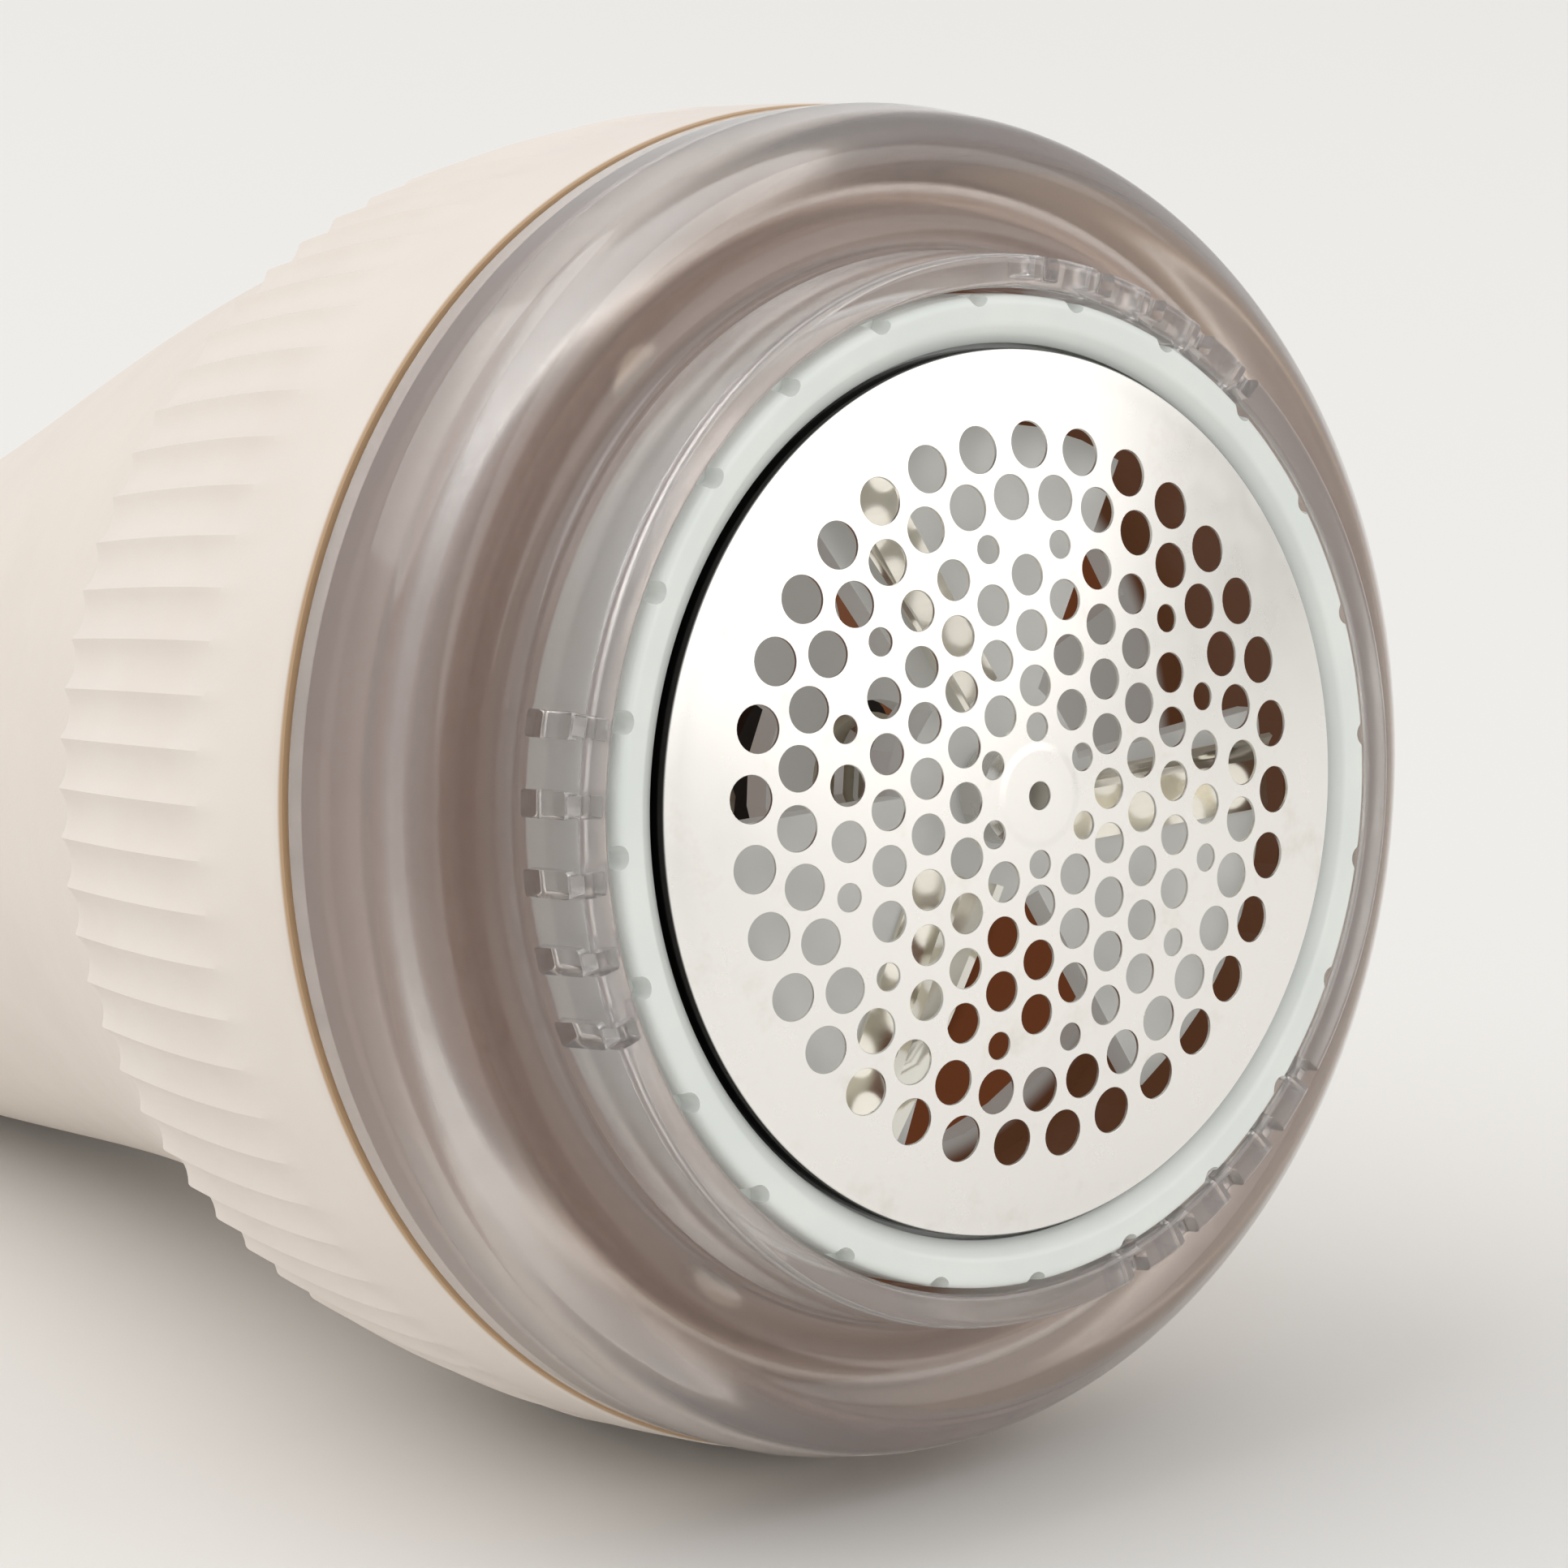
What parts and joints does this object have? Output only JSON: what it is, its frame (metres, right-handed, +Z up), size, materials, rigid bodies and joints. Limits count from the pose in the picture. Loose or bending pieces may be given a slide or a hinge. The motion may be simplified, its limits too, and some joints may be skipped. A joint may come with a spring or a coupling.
{
  "type": "fabric shaver",
  "caption": "Cordless fabric shaver with a domed perforated foil, clear snag guard, ribbed height dial and a bent tapering grip.",
  "frame": {"origin": "on the table surface, centred under the shaver as it lies on its side", "axes": "+X towards the foil, +Z up; the head axis leans 8.5 degrees above +X"},
  "size_m": [0.1504, 0.073, 0.0742],
  "materials": {
    "steel": "bright, lightly brushed",
    "white": "glossy milky white",
    "smoke": "smoked clear plastic with a fine frost",
    "cream": "fine spark texture, cream",
    "chamber": "dark brown",
    "grey": "satin",
    "brass": "turned",
    "nylon": "natural",
    "copper": "enamelled copper wire",
    "nickel": "nickel plated",
    "black": "satin",
    "ferrite": "sintered",
    "rubber": "soft",
    "wrap": null,
    "board": "solder mask",
    "lamp": "clear resin",
    "lens": "clear",
    "red_wire": "soft insulation"
  },
  "bodies": {
    "body": {"head_housing": "chamber", "cutter_bowl": "grey", "motor_can": "nickel", "motor_end_cap": "black", "motor_magnet_1": "ferrite", "motor_magnet_2": "ferrite", "front_bearing": "brass", "shaft_seal": "rubber", "motor_screw_1": "steel", "motor_screw_2": "steel", "bowl_screw_1": "steel", "bowl_screw_2": "steel", "bowl_screw_3": "steel", "dial_detent_spring": "steel", "grip_shell_left": "cream", "grip_shell_right": "cream", "end_cap": "cream", "shell_screw_1": "steel", "shell_screw_2": "steel", "shell_screw_3": "steel", "shell_screw_4": "steel", "battery_cell": "wrap", "battery_cradle": "nylon", "battery_tab_front": "nickel", "battery_tab_rear": "nickel", "circuit_board": "board", "charge_chip": "black", "charging_socket": "nickel", "power_switch": "black", "button_spring": "steel", "indicator_led": "lamp", "indicator_lens": "lens", "motor_wire_red": "red_wire", "motor_wire_black": "black"},
    "dial": {"height_dial": "cream"},
    "guard": {"fabric_guard": "smoke"},
    "net_ring": {"foil_ring": "white", "foil_net": "steel"},
    "rotor": {"blade_hub": "grey", "blade_1": "steel", "blade_2": "steel", "blade_3": "steel", "hub_cap": "brass", "hub_spring": "steel", "drive_dog": "nylon", "motor_shaft": "steel", "motor_armature": "copper"},
    "button": {"power_button": "white", "switch_plunger": "white"}
  },
  "joints": [
    {"name": "dial_turn", "type": "hinge", "parent": "body", "child": "dial", "pos_m": [0.07376, 0, 0.04016], "axis": [0.989, 0, 0.1478], "range_deg": [0, 60]},
    {"name": "guard_slide", "type": "slide", "parent": "body", "child": "guard", "axis": [0.989, 0, 0.1478], "range_m": [0, 0.003]},
    {"name": "net_ring_turn", "type": "hinge", "parent": "body", "child": "net_ring", "pos_m": [0.07376, 0, 0.04016], "axis": [0.989, 0, 0.1478], "range_deg": [0, 20]},
    {"name": "rotor_spin", "type": "hinge", "parent": "body", "child": "rotor", "pos_m": [0.07376, 0, 0.04016], "axis": [0.989, 0, 0.1478], "continuous": true},
    {"name": "button_press", "type": "slide", "parent": "body", "child": "button", "axis": [0.0289, 0, -0.9996], "range_m": [0, 0.001], "stiffness_N_per_m": 700, "deforming": ["button_spring"]}
  ],
  "couplings": [
    {"joint": "dial_turn", "follows": "guard_slide", "rad_per_m": 349.06}
  ]
}
